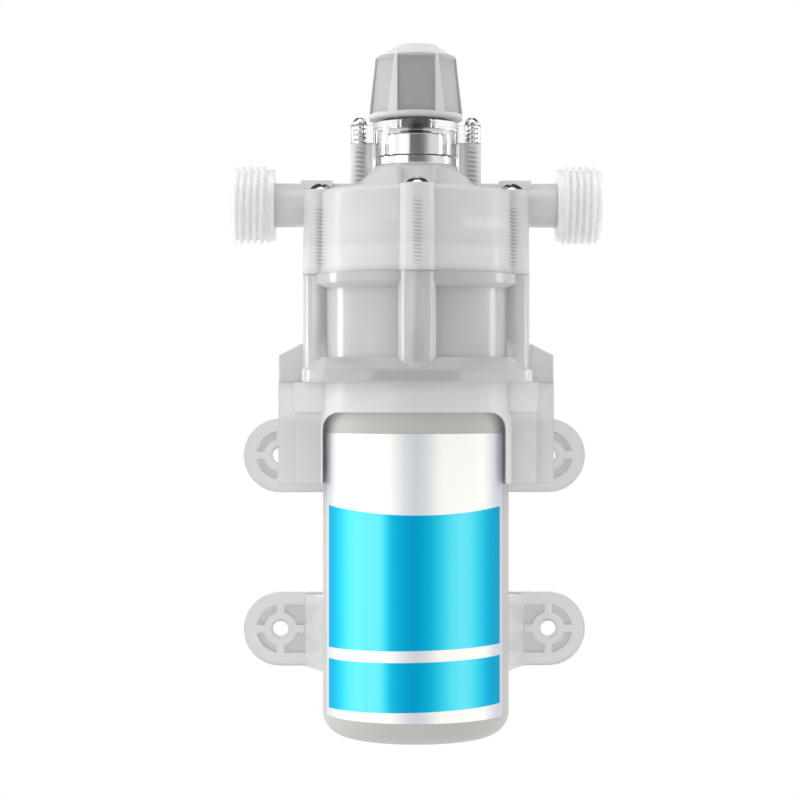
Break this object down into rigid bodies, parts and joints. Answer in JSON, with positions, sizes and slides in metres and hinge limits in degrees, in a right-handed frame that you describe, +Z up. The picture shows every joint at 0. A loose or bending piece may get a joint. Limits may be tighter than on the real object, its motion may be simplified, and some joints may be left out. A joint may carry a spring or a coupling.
{
  "type": "diaphragm pump",
  "caption": "Motor driven wobble plate diaphragm pump with two threaded side ports, a pressure knob on top and a foot plate for a wall.",
  "frame": {"origin": "centre of the foot hole pattern, on the wall face of the foot plate", "axes": "+X from inlet to outlet, +Y into the wall, +Z up towards the knob"},
  "size_m": [0.1004, 0.0628, 0.1866],
  "materials": {
    "frosted_plastic": "frosted, lets some light through",
    "foot_plastic": "half clear, satin",
    "knob_plastic": "frosted",
    "clear_plastic": "clear, polished",
    "white_plastic": "satin",
    "nylon": "satin",
    "phenolic": "matte",
    "black_rubber": "matte",
    "painted_can": "matte warm grey",
    "foil_label": "metallic foil with two blue panels",
    "zinc_steel": "zinc plated",
    "bright_steel": "bright",
    "chromed": "polished",
    "dark_steel": "blackened",
    "shaft_steel": "ground",
    "lamination": "stacked sheet",
    "ferrite": "matte",
    "copper": "enamelled copper",
    "bronze": "sintered",
    "carbon": "pressed carbon"
  },
  "bodies": {
    "pump_body": {"motor_can": "painted_can", "motor_front_plate": "zinc_steel", "field_magnets": "ferrite", "front_bearing": "bronze", "rear_bearing": "bronze", "brush_holder": "phenolic", "brushes": "carbon", "brush_springs": "zinc_steel", "lead_grommet": "black_rubber", "motor_label": "foil_label", "motor_mount": "frosted_plastic", "foot_plate": "foot_plastic", "foot_plate_screws": "zinc_steel", "mount_screws": "zinc_steel", "lower_housing": "frosted_plastic", "diaphragm_seat": "white_plastic", "diaphragm": "black_rubber", "valve_plate": "white_plastic", "inlet_valves": "black_rubber", "outlet_valve": "black_rubber", "chamber_seal": "black_rubber", "gallery_seal": "black_rubber", "upper_cover": "frosted_plastic", "inlet_port": "foot_plastic", "outlet_port": "foot_plastic", "head_screws": "bright_steel", "regulator_spring": "bright_steel", "spring_bonnet": "chromed", "regulator_collar": "clear_plastic", "regulator_screws": "bright_steel", "adjuster_nut": "dark_steel"},
    "rotor": {"motor_shaft": "shaft_steel", "armature_core": "lamination", "windings": "copper", "commutator": "copper", "eccentric_hub": "shaft_steel", "hub_set_screw": "dark_steel", "bearing_inner_race": "shaft_steel"},
    "ball_set": {"bearing_balls": "shaft_steel", "bearing_cage": "bronze"},
    "wobble": {"bearing_outer_race": "shaft_steel", "wobble_plate": "nylon", "pistons": "white_plastic", "piston_screws": "zinc_steel"},
    "seat_slide": {"spring_seat": "zinc_steel"},
    "knob_body": {"knob": "knob_plastic", "adjuster_screw": "dark_steel"},
    "poppet": {"bypass_poppet": "nylon", "poppet_seal": "black_rubber"}
  },
  "joints": [
    {"name": "rotor_spin", "type": "hinge", "parent": "pump_body", "child": "rotor", "pos_m": [0, -0.0291, 0], "axis": [0, 0, 1], "continuous": true, "deforming": ["diaphragm"]},
    {"name": "ball_orbit", "type": "hinge", "parent": "rotor", "child": "ball_set", "pos_m": [0, -0.0291, 0.07445], "axis": [0, -0.0698, 0.9976], "continuous": true},
    {"name": "wobble_nutate", "type": "hinge", "parent": "rotor", "child": "wobble", "pos_m": [0, -0.0291, 0.07445], "axis": [0, -0.0698, 0.9976], "continuous": true},
    {"name": "adjuster_travel", "type": "slide", "parent": "pump_body", "child": "seat_slide", "axis": [0, 0, 1], "range_m": [-0.00076, 0.00076], "deforming": ["regulator_spring"]},
    {"name": "knob_turn", "type": "hinge", "parent": "seat_slide", "child": "knob_body", "pos_m": [0, -0.0291, 0.11], "axis": [0, 0, 1], "range_deg": [-270, 270]},
    {"name": "poppet_lift", "type": "slide", "parent": "pump_body", "child": "poppet", "axis": [0, 0, 1], "range_m": [0, 0.0008], "stiffness_N_per_m": 2500, "springref_m": -0.0076}
  ],
  "couplings": [
    {"joint": "ball_orbit", "follows": "rotor_spin", "ratio": -0.623},
    {"joint": "wobble_nutate", "follows": "rotor_spin", "ratio": -1},
    {"joint": "adjuster_travel", "follows": "knob_turn", "m_per_rad": 0.00015915}
  ]
}
